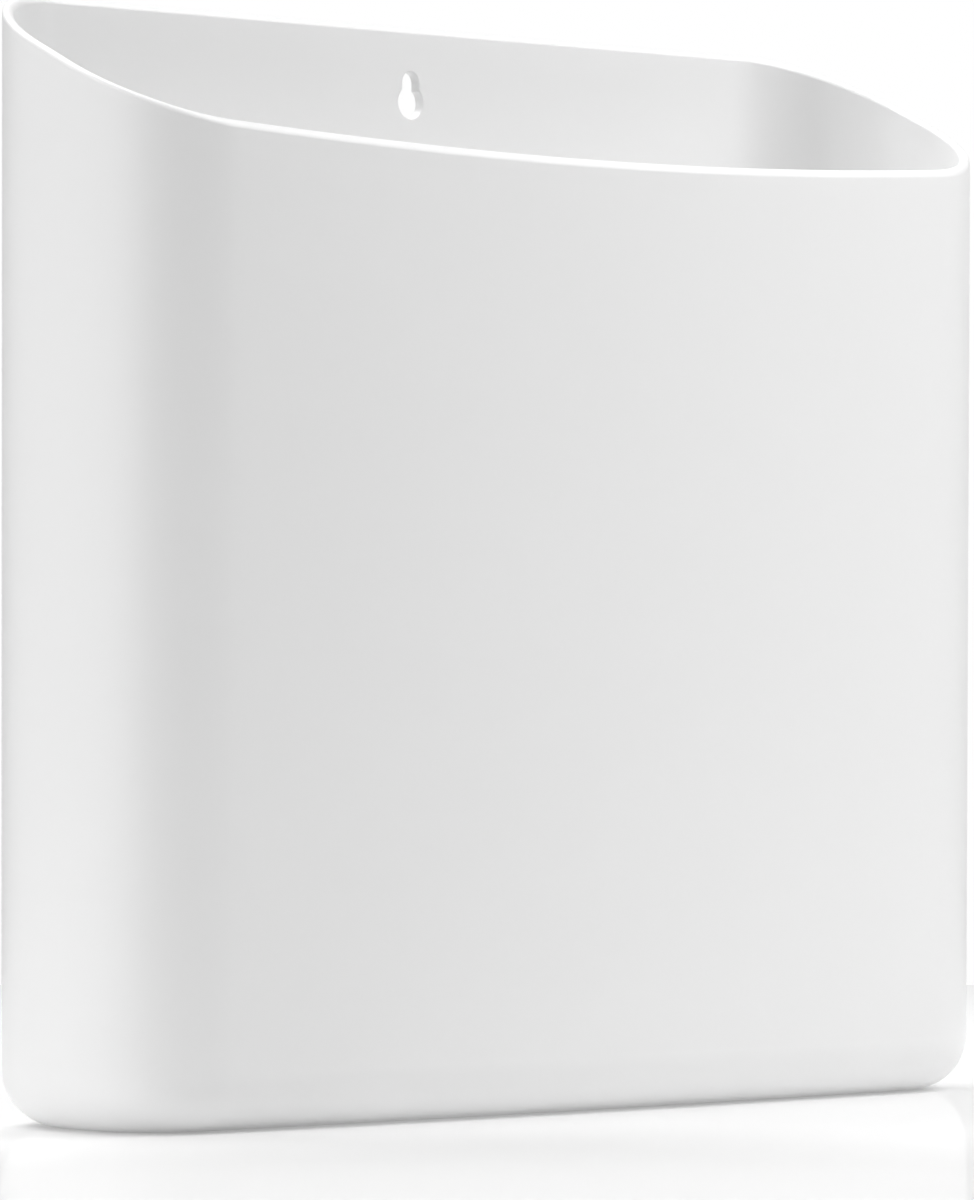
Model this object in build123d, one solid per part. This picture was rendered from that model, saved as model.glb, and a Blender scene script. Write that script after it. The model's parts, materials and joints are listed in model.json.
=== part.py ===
from build123d import *
import math
import os

# Slim open-top waste bin, moulded in one piece: a tall flat back with a keyhole for hanging it on
# one screw, a gently bowed lower front, and a rim that slopes down from the back to the front.
# Millimetres. Origin at the middle of the base, +Z up, flat back towards +Y, bowed front towards -Y.

# Overall sizes
height = 270.0  # base to the rim along the back
width = 294.5
depth = 77.8  # flat back to the middle of the front's rim
wall = 2.8
floor_thickness = 3.0

# Outline seen from above
front_bow = 5.2  # how far the front swells past its two ends
front_corner_radius = 30.0
back_corner_radius = 33.5
front_draft = math.radians(0.4)  # the front leans in towards the base
base_edge_radius = 14.0

# Rim: level along the back, then a straight slope that is a little steeper in the middle
rim_side_slope = math.radians(24.9)
rim_middle_slope = math.radians(27.1)
rim_blend_radius = 1.5  # between the level back rim and the slope
rim_edge_radius = 0.45 * wall

# Keyhole for a wall screw with a 4 mm shank and an 8 mm head
screw_shank_radius = 2.0
screw_head_radius = 4.0
shank_clearance = 0.7
head_clearance = 0.1
slot_radius = screw_shank_radius + shank_clearance
head_hole_radius = screw_head_radius + head_clearance
slot_rise = 5.0  # head hole centre up to the seat of the screw
keyhole_below_rim = 18.5  # back rim down to the head hole centre
keyhole_edge_radius = 0.3

# Lines that several features share
back_face = depth / 2
inner_back_face = back_face - wall
front_face = -depth / 2
front_rim_height = height - (inner_back_face - front_face) * math.tan(rim_middle_slope)
bow_radius = ((width / 2) ** 2 + front_bow**2) / (2 * front_bow)
keyhole_height = height - keyhole_below_rim
trim = 4 * wall  # stock beyond the rim, cut away

# Each end wall is shared by a front and a back corner, so a shallow bin gets tighter corners
end_run = depth - front_bow - front_rim_height * math.tan(front_draft)  # at the base
front_corner = min(front_corner_radius, 0.46 * end_run)
back_corner = min(back_corner_radius, 0.52 * end_run)


def outline(inset, z):
    """Outline of the bin at height z, moved in from the outer wall by inset."""
    lean = (front_rim_height - z) * math.tan(front_draft)
    bow_centre = front_face + lean + bow_radius
    side = width / 2 - inset
    back = back_face - inset
    front = bow_centre - (bow_radius - inset)
    front_end = bow_centre - math.sqrt((bow_radius - inset) ** 2 - side**2)
    with BuildSketch(Plane.XY.offset(z)) as sketch:
        with BuildLine():
            Polyline((side, front_end), (side, back), (-side, back), (-side, front_end))
            ThreePointArc((-side, front_end), (0, front), (side, front_end))
        make_face()
        fillet(sketch.vertices().sort_by(Axis.Y)[:2], front_corner - inset)
        fillet(sketch.vertices().sort_by(Axis.Y)[-2:], back_corner - inset)
    return sketch.sketch


def form(inset, base):
    """Solid within the wall line at this inset, from its base up, with a rounded base edge."""
    stock = loft([outline(inset, base), outline(inset, height + trim)], ruled=True)
    base_edges = stock.faces().sort_by(Axis.Z)[0].edges()
    return fillet(base_edges, base_edge_radius - inset)


def above_rim(x):
    """Section, at this x, of the space above the rim."""
    side_share = (2 * x / width) ** 2
    slope = rim_middle_slope + (rim_side_slope - rim_middle_slope) * side_share
    bend = inner_back_face - rim_blend_radius * math.tan(slope / 2)
    ahead = front_face - trim
    ahead_height = height - (bend - ahead) * math.tan(slope)
    behind = back_face + trim
    top = height + 2 * trim
    with BuildSketch(Plane.YZ.offset(x)) as section:
        with BuildLine():
            Polyline((bend, height), (behind, height), (behind, top), (ahead, top))
            Polyline((ahead, top), (ahead, ahead_height), (bend, height))
        make_face()
        fillet(section.vertices().sort_by_distance((bend, height))[0], rim_blend_radius)
    return section.sketch


def keyhole():
    """Head hole with a round-ended slot rising from it, through the back wall."""
    with BuildSketch(Plane.XZ.offset(-back_face - trim)) as sketch:
        with Locations((0, keyhole_height)):
            Circle(head_hole_radius)
            Rectangle(2 * slot_radius, slot_rise, align=(Align.CENTER, Align.MIN))
        with Locations((0, keyhole_height + slot_rise)):
            Circle(slot_radius)
    return extrude(sketch.sketch, amount=wall + 2 * trim)


# The shell, trimmed to its sloping rim
body = form(0, 0) - form(wall, floor_thickness)
reach = width / 2 + trim
body -= loft([above_rim(-reach), above_rim(0), above_rim(reach)])

# Both edges of the rim are rounded
rim_faces = body.faces().filter_by(lambda f: f.center().Z > height / 2 and f.normal_at().Z > 0.5)
rim_edges = [e for e in rim_faces.edges() if sum(e in f.edges() for f in rim_faces) == 1]
body = fillet(rim_edges, rim_edge_radius)

# The keyhole, its inside edge eased
body -= keyhole()
inner_wall = body.faces().filter_by(GeomType.PLANE).filter_by(Axis.Y).sort_by(Axis.Y)[0]
body = fillet(inner_wall.inner_wires().edges(), keyhole_edge_radius)

bin_body = body.solid()
bin_body.label = "bin_body"

os.makedirs("parts", exist_ok=True)
export_step(bin_body, "parts/bin_body.step")
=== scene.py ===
import json
import math

import bmesh
import bpy
from bpy.props import FloatProperty, FloatVectorProperty, IntProperty, PointerProperty
from mathutils import Matrix, Vector


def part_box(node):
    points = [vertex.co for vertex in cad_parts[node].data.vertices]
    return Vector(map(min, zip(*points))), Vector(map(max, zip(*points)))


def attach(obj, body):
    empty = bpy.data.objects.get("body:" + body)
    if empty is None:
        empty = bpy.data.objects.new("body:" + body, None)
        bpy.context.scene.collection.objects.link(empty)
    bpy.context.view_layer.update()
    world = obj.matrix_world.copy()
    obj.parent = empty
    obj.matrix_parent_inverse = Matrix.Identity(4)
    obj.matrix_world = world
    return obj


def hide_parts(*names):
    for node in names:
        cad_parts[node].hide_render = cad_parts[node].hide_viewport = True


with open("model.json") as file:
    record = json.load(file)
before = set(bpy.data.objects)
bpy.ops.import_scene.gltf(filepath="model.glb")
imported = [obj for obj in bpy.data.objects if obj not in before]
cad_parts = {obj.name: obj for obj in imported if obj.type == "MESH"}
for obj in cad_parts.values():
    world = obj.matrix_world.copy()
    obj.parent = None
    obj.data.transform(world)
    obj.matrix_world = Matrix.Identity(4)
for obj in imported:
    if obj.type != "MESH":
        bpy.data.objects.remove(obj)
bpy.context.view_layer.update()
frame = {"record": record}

bl_info = {
    "name": "Wall-mounted waste bin",
    "version": (1, 0, 0),
    "blender": (4, 5, 0),
    "location": "View3D > Sidebar > Bin",
    "description": "Builds a slim open-top waste bin and the small studio it stands in",
    "category": "Object",
}

BODY = "root"
NODE = "bin_body"
LOW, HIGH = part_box(NODE)
MOUNTS = {mount["name"]: mount for mount in frame["record"]["mounts"]}
HEAD_HOLE = MOUNTS["keyhole_head_hole"]
SLOT = MOUNTS["keyhole_slot"]
MM_PER_METRE = 1000


# ---------------------------------------------------------------- sizes and colours


class BinSettings(bpy.types.PropertyGroup):
    wall: FloatProperty(
        name="Wall",
        description="Thickness of the moulding",
        default=0.0028,
        unit="LENGTH",
    )
    front_bow: FloatProperty(
        name="Front bow",
        description="How far the front swells past its two ends",
        default=0.0052,
        unit="LENGTH",
    )
    front_corner: FloatProperty(
        name="Front corner radius",
        description="Radius of the upright front corners",
        default=0.030,
        unit="LENGTH",
    )
    back_corner: FloatProperty(
        name="Back corner radius",
        description="Radius of the upright back corners",
        default=0.0335,
        unit="LENGTH",
    )
    base_radius: FloatProperty(
        name="Base edge radius",
        description="Radius between the walls and the underside",
        default=0.014,
        unit="LENGTH",
    )
    front_draft: FloatProperty(
        name="Front draft",
        description="How far the front leans in towards the base",
        default=math.radians(0.4),
        unit="ROTATION",
    )
    side_slope: FloatProperty(
        name="Rim slope at the sides",
        description="Fall of the rim towards the front, at the sides",
        default=math.radians(24.9),
        unit="ROTATION",
    )
    middle_slope: FloatProperty(
        name="Rim slope in the middle",
        description="Fall of the rim towards the front, in the middle",
        default=math.radians(27.1),
        unit="ROTATION",
    )
    rim_blend: FloatProperty(
        name="Rim blend radius",
        description="Radius between the level back rim and the slope",
        default=0.0015,
        unit="LENGTH",
    )
    rim_edge: FloatProperty(
        name="Rim edge",
        description="Rounding of both edges of the rim",
        default=0.00126,
        unit="LENGTH",
    )
    slot_radius: FloatProperty(
        name="Slot radius",
        description="Half the width of the keyhole's slot",
        default=0.0027,
        unit="LENGTH",
    )
    keyhole_edge: FloatProperty(
        name="Keyhole edge",
        description="Rounding of the keyhole's inside edge",
        default=0.0004,
        unit="LENGTH",
    )
    corner_steps: IntProperty(
        name="Corner steps",
        description="Faces round each upright corner",
        default=32,
        min=4,
    )
    plastic: FloatVectorProperty(
        name="Plastic",
        description="Colour of the white plastic",
        subtype="COLOR",
        default=(0.94, 0.94, 0.94),
    )


class StudioSettings(bpy.types.PropertyGroup):
    azimuth: FloatProperty(
        name="Camera azimuth",
        description="Angle of the camera round the bin, from straight in front",
        default=math.radians(-42.785),
        unit="ROTATION",
    )
    distance: FloatProperty(
        name="Camera distance",
        description="Level distance from the camera to the aim point",
        default=1.7312,
        unit="LENGTH",
    )
    camera_height: FloatProperty(
        name="Camera height",
        description="Height of the camera above the floor",
        default=0.10713,
        unit="LENGTH",
    )
    aim: FloatVectorProperty(
        name="Aim point",
        description="Point that the camera looks at",
        subtype="XYZ",
        unit="LENGTH",
        default=(-0.00395, 0.00355, 0.12568),
    )
    lens: FloatProperty(
        name="Lens",
        description="Focal length in millimetres",
        default=209.2,
    )
    floor_radius: FloatProperty(
        name="Floor radius",
        description="Radius of the round sheet that the bin stands on",
        default=0.7,
        unit="LENGTH",
    )
    floor_colour: FloatVectorProperty(
        name="Floor",
        description="Colour of the floor",
        subtype="COLOR",
        default=(0.9, 0.9, 0.9),
    )
    # Painted glow: the floor's own emission stands in for light from beneath, where there is no
    # lamp
    painted_glow: FloatProperty(
        name="Underlight",
        description="Brightness of the light that comes up through the floor",
        default=0.22,
    )
    # The painted glow is left off round this point, so the floor before the bin is a dimmer
    # pool; the two radii below set where the glow starts and where it is full
    pool: FloatVectorProperty(
        name="Dim pool",
        description="Middle of the part of the floor that is not lit from beneath",
        subtype="XYZ",
        unit="LENGTH",
        default=(-0.24, -0.26, 0.0),
    )
    pool_inner: FloatProperty(
        name="Pool inner radius",
        description="Radius where the light from beneath begins",
        default=0.16,
        unit="LENGTH",
    )
    pool_outer: FloatProperty(
        name="Pool outer radius",
        description="Radius where the light from beneath is full",
        default=0.3,
        unit="LENGTH",
    )
    background: FloatProperty(
        name="Background",
        description="Brightness of the background that the camera sees",
        default=1.0,
    )
    floor_gloss: FloatProperty(
        name="Floor gloss",
        description="Share of the light that the floor mirrors",
        default=0.3,
        subtype="FACTOR",
    )


# ---------------------------------------------------------------- materials


CLOUDY = 0.985  # the plastic's brightness where it is cloudiest
GRAIN_DEPTH = 0.00005
PLASTIC_IOR = 1.49

# The Mix node's colour sockets share their names with its number sockets, so they go by place
MIX_FIRST_COLOUR = 6
MIX_SECOND_COLOUR = 7
MIX_COLOUR = 2


class Value:
    """A shader socket whose sums and products are written as Python expressions."""

    def __init__(self, tree, socket):
        self.tree = tree
        self.socket = socket

    def maths(self, operation, *values):
        settings = {"operation": operation}
        return node(self.tree, "ShaderNodeMath", settings, dict(enumerate(values)))

    def __add__(self, other):
        return self.maths("ADD", self, other)

    def __mul__(self, other):
        return self.maths("MULTIPLY", self, other)

    __radd__ = __add__
    __rmul__ = __mul__


def node(tree, kind, settings, sockets, output=0):
    """Adds a node with its settings, then its sockets' values or links, and gives an output."""
    new = tree.nodes.new(kind)
    for name, setting in settings.items():
        setattr(new, name, setting)
    for key, value in sockets.items():
        if isinstance(value, Value):
            tree.links.new(value.socket, new.inputs[key])
        else:
            new.inputs[key].default_value = value
    return Value(tree, new.outputs[output])


def noise(tree, place, scale, detail):
    """Soft random pattern that is fixed to the piece."""
    return node(
        tree,
        "ShaderNodeTexNoise",
        {},
        {"Vector": place, "Scale": scale, "Detail": detail},
    )


def object_place(tree):
    """Where a point lies on the piece."""
    return node(tree, "ShaderNodeTexCoord", {}, {}, "Object")


def new_material(name):
    """A material holding one Principled shader, with its tree and shader."""
    material = bpy.data.materials.new(name)
    material.use_nodes = True
    return material, material.node_tree, material.node_tree.nodes["Principled BSDF"]


def moulded_plastic(colour):
    """White satin plastic: a fine moulded grain, faint cloudiness and uneven sheen."""
    material, tree, shader = new_material("white_plastic")
    place = object_place(tree)
    clouds = noise(tree, place, 14.0, 3.0)
    grain = noise(tree, place, 2600.0, 2.0)
    flow = noise(tree, place, 9.0, 1.0)
    shade = node(
        tree,
        "ShaderNodeMix",
        {"data_type": "RGBA"},
        {
            "Factor": clouds,
            MIX_FIRST_COLOUR: (*(CLOUDY * c for c in colour), 1.0),
            MIX_SECOND_COLOUR: (*colour, 1.0),
        },
        MIX_COLOUR,
    )
    tree.links.new(shade.socket, shader.inputs["Base Color"])
    sheen = 0.27 + 0.06 * flow + 0.04 * grain
    tree.links.new(sheen.socket, shader.inputs["Roughness"])
    bump = node(
        tree,
        "ShaderNodeBump",
        {},
        {"Strength": 0.05, "Distance": GRAIN_DEPTH, "Height": grain},
    )
    tree.links.new(bump.socket, shader.inputs["Normal"])
    shader.inputs["IOR"].default_value = PLASTIC_IOR
    return material


def studio_white(studio):
    """White acrylic sheet, faintly mirroring, with a painted glow: its emission stands in for
    light from beneath and fades out round a dimmer pool before the bin.
    """
    material, tree, shader = new_material("studio_white")
    place = object_place(tree)
    haze = noise(tree, place, 3.0, 2.0)
    # Mask of the painted glow: nothing near the dim pool's middle, full past its outer radius
    reach = node(
        tree,
        "ShaderNodeVectorMath",
        {"operation": "DISTANCE"},
        {0: place, 1: tuple(studio.pool)},
        "Value",
    )
    rise = node(
        tree,
        "ShaderNodeMapRange",
        {"interpolation_type": "SMOOTHSTEP"},
        {"Value": reach, "From Min": studio.pool_inner, "From Max": studio.pool_outer},
    )
    shader.inputs["Base Color"].default_value = (*studio.floor_colour, 1.0)
    shader.inputs["Roughness"].default_value = 1.0
    shader.inputs["Specular IOR Level"].default_value = 0.0
    # Painted glow: the emission makes the sheet look lit from beneath; it is no lamp
    shader.inputs["Emission Strength"].default_value = studio.painted_glow
    tree.links.new(rise.socket, shader.inputs["Emission Color"])
    mirror = node(tree, "ShaderNodeBsdfGlossy", {}, {"Roughness": 0.06 + 0.03 * haze})
    matt = Value(tree, shader.outputs["BSDF"])
    sheet = node(
        tree,
        "ShaderNodeMixShader",
        {},
        {"Fac": studio.floor_gloss, 1: matt, 2: mirror},
    )
    tree.links.new(sheet.socket, tree.nodes["Material Output"].inputs["Surface"])
    return material


# ---------------------------------------------------------------- meshes


QUARTER = math.radians(90)
CLOSE = 1e-6  # points nearer than this are one point

# Faces along or round each part of the shell
BOW_STEPS = 14
END_STEPS = 3
BACK_STEPS = 14
BASE_STEPS = 12
WALL_ROWS = 30
LIP_STEPS = 5
KEYHOLE_STEPS = 3
BAR_SIDES = 64

BAR_LENGTH = 0.02  # well past both faces of the back wall
KEYHOLE_REACH = 0.015  # every edge of the keyhole is nearer than this to the screw's seat
CREASE = math.radians(50)  # edges that turn by more are drawn sharp


def placed(name, bm):
    """An object at the origin, made from a bmesh."""
    mesh = bpy.data.meshes.new(name)
    bm.to_mesh(mesh)
    bm.free()
    piece = bpy.data.objects.new(name, mesh)
    bpy.context.scene.collection.objects.link(piece)
    return piece


def cut_across(bm, point, normal):
    """Adds an edge loop where a plane crosses the mesh."""
    geometry = [*bm.verts, *bm.edges, *bm.faces]
    bmesh.ops.bisect_plane(bm, geom=geometry, dist=1e-7, plane_co=point, plane_no=normal)


def rounded(bm, edges, radius, steps):
    """Rounds edges with a true arc."""
    bmesh.ops.bevel(
        bm,
        geom=edges,
        offset=radius,
        offset_type="OFFSET",
        segments=steps,
        profile=0.5,
        affect="EDGES",
        clamp_overlap=False,
        material=-1,
    )


def spaced(low, high, count):
    """Evenly spaced values strictly between two limits."""
    return [low + (high - low) * i / count for i in range(1, count)]


def turned(bm, end, centre, angle, steps):
    """Carries the end of a line round an upright axis, and gives its new end."""
    swept = bmesh.ops.spin(
        bm,
        geom=[end],
        cent=centre,
        axis=(0.0, 0.0, 1.0),
        angle=angle,
        steps=steps,
        use_merge=False,
    )
    return next(v for v in swept["geom_last"] if isinstance(v, bmesh.types.BMVert))


def drawn(bm, end, place, steps):
    """Carries the end of a line straight to a place, and gives its new end."""
    stride = (Vector(place) - end.co) / steps
    for _ in range(steps):
        longer = bmesh.ops.extrude_vert_indiv(bm, verts=[end])
        end = longer["verts"][0]
        end.co += stride
    return end


def rim_height(sizes, x, y):
    """Height of the rim over a point of the outline."""
    share = min(1.0, (x / HIGH.x) ** 2)
    slope = sizes.middle_slope + (sizes.side_slope - sizes.middle_slope) * share
    radius = sizes.rim_blend
    start = HIGH.y - sizes.wall
    run = start - y
    if run <= 0.0:
        return HIGH.z
    if run <= radius * math.sin(slope):
        return HIGH.z - radius + math.sqrt(radius**2 - run**2)
    return HIGH.z - (run - radius * math.tan(slope / 2)) * math.tan(slope)


def shell(sizes):
    """The open shell, as one closed mesh with a rounded rim."""
    corner = sizes.front_corner
    bow_radius = (HIGH.x**2 + sizes.front_bow**2) / (2 * sizes.front_bow)
    swing = math.asin((HIGH.x - corner) / (bow_radius - corner))
    bow_centre = Vector((0.0, LOW.y + bow_radius, LOW.z))
    front_y = bow_centre.y - (bow_radius - corner) * math.cos(swing)
    back_y = HIGH.y - sizes.back_corner
    front_centre = (HIGH.x - corner, front_y, LOW.z)
    back_centre = (HIGH.x - sizes.back_corner, back_y, LOW.z)

    # Half of the outline, from the middle of the front round to the middle of the back
    bm = bmesh.new()
    end = bm.verts.new((0.0, LOW.y, LOW.z))
    end = turned(bm, end, bow_centre, swing, BOW_STEPS)
    end = turned(bm, end, front_centre, QUARTER - swing, sizes.corner_steps)
    end = drawn(bm, end, (HIGH.x, back_y, LOW.z), END_STEPS)
    end = turned(bm, end, back_centre, QUARTER, sizes.corner_steps)
    drawn(bm, end, (0.0, HIGH.y, LOW.z), BACK_STEPS)
    bmesh.ops.mirror(bm, geom=[*bm.verts, *bm.edges], merge_dist=CLOSE, axis="X")
    bmesh.ops.remove_doubles(bm, verts=bm.verts, dist=CLOSE)

    # Underside and upright walls, open at the top
    foot = bm.edges[:]
    bmesh.ops.edgeloop_fill(bm, edges=foot)
    raised = bmesh.ops.extrude_edge_only(bm, edges=foot)
    top = [v for v in raised["geom"] if isinstance(v, bmesh.types.BMVert)]
    bmesh.ops.translate(bm, vec=(0.0, 0.0, HIGH.z - LOW.z), verts=top)
    bmesh.ops.recalc_face_normals(bm, faces=bm.faces)
    rounded(bm, foot, sizes.base_radius, BASE_STEPS)
    for z in spaced(LOW.z + sizes.base_radius, HIGH.z, WALL_ROWS):
        cut_across(bm, (0, 0, z), (0, 0, 1))
    bmesh.ops.recalc_face_normals(bm, faces=bm.faces)

    # The wall's thickness, with both edges of the level rim rounded
    bmesh.ops.solidify(bm, geom=bm.faces[:], thickness=sizes.wall)
    bm.normal_update()
    still = HIGH.z / 2  # nothing below this height is moved to make the rim slope
    rim = {f for f in bm.faces if f.normal.z > 0.7 and f.calc_center_median().z > still}
    lips = [e for e in bm.edges if sum(f in rim for f in e.link_faces) == 1]
    rounded(bm, lips, sizes.rim_edge, LIP_STEPS)

    # The top slides down to the sloping rim, and the front leans in towards the base
    band = HIGH.z - 2 * sizes.rim_edge
    lowest_rim = rim_height(sizes, 0.0, LOW.y)
    for v in bm.verts:
        rise = min(1.0, max(0.0, v.co.z - still) / (band - still))
        lean = min(1.0, max(0.0, (back_y - v.co.y) / (back_y - front_y)))
        v.co.z += rise * (rim_height(sizes, v.co.x, v.co.y) - HIGH.z)
        v.co.y += lean * (lowest_rim - v.co.z) * math.tan(sizes.front_draft)
    return bm


def cutter(name, place, radius, drop):
    """A bar through the back wall, round above and reaching down by drop."""
    bm = bmesh.new()
    bmesh.ops.create_cone(
        bm,
        cap_ends=True,
        segments=BAR_SIDES,
        radius1=radius,
        radius2=radius,
        depth=BAR_LENGTH,
        matrix=Matrix.Translation(place) @ Matrix.Rotation(QUARTER, 4, "X"),
    )
    lower = [v for v in bm.verts if v.co.z < place.z - CLOSE]
    bmesh.ops.translate(bm, vec=(0.0, 0.0, -drop), verts=lower)
    return placed(name, bm)


def cut_keyhole(piece, sizes):
    """Cuts the head hole and its slot, and eases their inside edge."""
    head = Vector(HEAD_HOLE["pos_m"])
    seat = Vector(SLOT["pos_m"])
    radius = HEAD_HOLE["dims"]["r_mm"] / MM_PER_METRE
    bars = [
        cutter("head_bar", head, radius, 0.0),
        cutter("slot_bar", seat, sizes.slot_radius, seat.z - head.z),
    ]
    for bar in bars:
        cut = piece.modifiers.new(bar.name, "BOOLEAN")
        cut.operation = "DIFFERENCE"
        cut.solver = "EXACT"
        cut.object = bar
    graph = bpy.context.evaluated_depsgraph_get()
    cut_mesh = bpy.data.meshes.new_from_object(piece.evaluated_get(graph))
    piece.modifiers.clear()
    piece.data = cut_mesh
    for bar in bars:
        bpy.data.objects.remove(bar)

    bm = bmesh.new()
    bm.from_mesh(cut_mesh)
    inside = HIGH.y - sizes.wall
    around = [
        e
        for e in bm.edges
        if all(abs(v.co.y - inside) < 10 * CLOSE for v in e.verts)
        and all((v.co - seat).length < KEYHOLE_REACH for v in e.verts)
        and any(abs(f.normal.y) < 0.5 for f in e.link_faces)
    ]
    rounded(bm, around, sizes.keyhole_edge, KEYHOLE_STEPS)
    bm.to_mesh(cut_mesh)
    bm.free()


# ---------------------------------------------------------------- studio


# Each soft light's name, azimuth and elevation in degrees, distance, width and height in metres,
# and power in watts. The azimuth is from straight in front of the bin, positive to its right.
SOFTBOXES = (
    ("left_high", -100, 45, 1.3, (0.8, 1.1), 2.8),
    ("left_low", -100, 8, 1.3, (0.8, 1.1), 1.1),
    ("left_front_high", -75, 45, 1.3, (0.8, 1.1), 4.7),
    ("left_front_low", -75, 8, 1.3, (0.8, 1.1), 2.9),
    ("right_front_high", 40, 45, 0.9, (0.5, 0.8), 4.0),
    ("right_front_low", 45, 8, 0.9, (0.5, 0.8), 1.0),
    ("right_high", 65, 45, 0.9, (0.5, 0.8), 2.2),
    ("back_high", 180, 60, 1.3, (1.2, 0.8), 14.0),
    ("behind_low", 137, 12, 2.0, (2.4, 1.2), 3.9),
)
LIT_HEIGHT = 0.12  # the lights face this height over the middle of the base
FLOOR_GAP = 0.0001  # keeps the floor clear of the underside, which lies flat on it
FLOOR_SIDES = 128


def softbox(name, azimuth, elevation, distance, size, power):
    """A soft area light that faces the middle of the bin."""
    light = bpy.data.lights.new(name, "AREA")
    light.shape = "RECTANGLE"
    light.size, light.size_y = size
    light.energy = power
    around, up = math.radians(azimuth), math.radians(elevation)
    level = math.cos(up)
    facing = Vector((math.sin(around) * level, -math.cos(around) * level, math.sin(up)))
    lamp = bpy.data.objects.new(name, light)
    lamp.location = Vector((0.0, 0.0, LIT_HEIGHT)) + distance * facing
    lamp.rotation_euler = (-facing).to_track_quat("-Z", "Y").to_euler()
    lamp.visible_camera = False
    bpy.context.scene.collection.objects.link(lamp)


def lay_floor(studio):
    """A round white sheet under the bin."""
    bm = bmesh.new()
    bmesh.ops.create_circle(bm, cap_ends=True, segments=FLOOR_SIDES, radius=studio.floor_radius)
    bmesh.ops.translate(bm, vec=(0.0, 0.0, LOW.z - FLOOR_GAP), verts=bm.verts)
    floor = placed("floor", bm)
    floor.data.materials.append(studio_white(studio))


def whiten_background(studio):
    """A white background that the camera sees and that lights nothing."""
    world = bpy.data.worlds.new("studio_air")
    world.use_nodes = True
    tree = world.node_tree
    rays = node(tree, "ShaderNodeLightPath", {}, {}, "Is Camera Ray")
    seen = studio.background * rays
    air = tree.nodes["Background"]
    air.inputs["Color"].default_value = (1.0, 1.0, 1.0, 1.0)
    tree.links.new(seen.socket, air.inputs["Strength"])
    bpy.context.scene.world = world


def set_camera(studio):
    """A long lens, low down and to the left of the bin."""
    camera = bpy.data.cameras.new("camera")
    camera.lens = studio.lens
    stand = bpy.data.objects.new("camera", camera)
    aim = Vector(studio.aim)
    back = Vector((math.sin(studio.azimuth), -math.cos(studio.azimuth), 0.0))
    place = aim + back * studio.distance
    place.z = studio.camera_height
    stand.location = place
    stand.rotation_euler = (aim - place).to_track_quat("-Z", "Y").to_euler()
    bpy.context.scene.collection.objects.link(stand)
    bpy.context.scene.camera = stand


# ---------------------------------------------------------------- operators


class BIN_OT_shell(bpy.types.Operator):
    """Builds the one-piece moulded shell with its keyhole"""

    bl_idname = "bin.shell"
    bl_label = "Bin shell"

    def execute(self, context):
        sizes = context.scene.bin_sizes
        piece = placed("bin_shell", shell(sizes))
        cut_keyhole(piece, sizes)
        piece.data.polygons.foreach_set("use_smooth", [True] * len(piece.data.polygons))
        piece.data.set_sharp_from_angle(angle=CREASE)
        even = piece.modifiers.new("even_shading", "WEIGHTED_NORMAL")
        even.keep_sharp = True
        even.weight = 100
        piece.data.materials.clear()
        piece.data.materials.append(moulded_plastic(sizes.plastic))
        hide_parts(NODE)
        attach(piece, BODY)
        return {"FINISHED"}


class BIN_OT_stage(bpy.types.Operator):
    """Builds the floor, the soft lights, the background and the camera"""

    bl_idname = "bin.stage"
    bl_label = "Bin studio"

    def execute(self, context):
        studio = context.scene.bin_studio
        lay_floor(studio)
        for light in SOFTBOXES:
            softbox(*light)
        whiten_background(studio)
        set_camera(studio)
        context.scene.view_settings.view_transform = "Standard"
        return {"FINISHED"}


class BIN_PT_panel(bpy.types.Panel):
    """Sizes, colours and the two builders"""

    bl_idname = "BIN_PT_panel"
    bl_label = "Waste bin"
    bl_space_type = "VIEW_3D"
    bl_region_type = "UI"
    bl_category = "Bin"

    def draw(self, context):
        for builder, settings in (
            (BIN_OT_shell, context.scene.bin_sizes),
            (BIN_OT_stage, context.scene.bin_studio),
        ):
            column = self.layout.column()
            for name in settings.__annotations__:
                column.prop(settings, name)
            column.operator(builder.bl_idname)


CLASSES = (BinSettings, StudioSettings, BIN_OT_shell, BIN_OT_stage, BIN_PT_panel)


def register():
    for cls in CLASSES:
        bpy.utils.register_class(cls)
    bpy.types.Scene.bin_sizes = PointerProperty(type=BinSettings)
    bpy.types.Scene.bin_studio = PointerProperty(type=StudioSettings)


def unregister():
    del bpy.types.Scene.bin_studio
    del bpy.types.Scene.bin_sizes
    for cls in reversed(CLASSES):
        bpy.utils.unregister_class(cls)


def main():
    register()
    bpy.ops.bin.stage()
    bpy.ops.bin.shell()


if __name__ == "__main__":
    main()
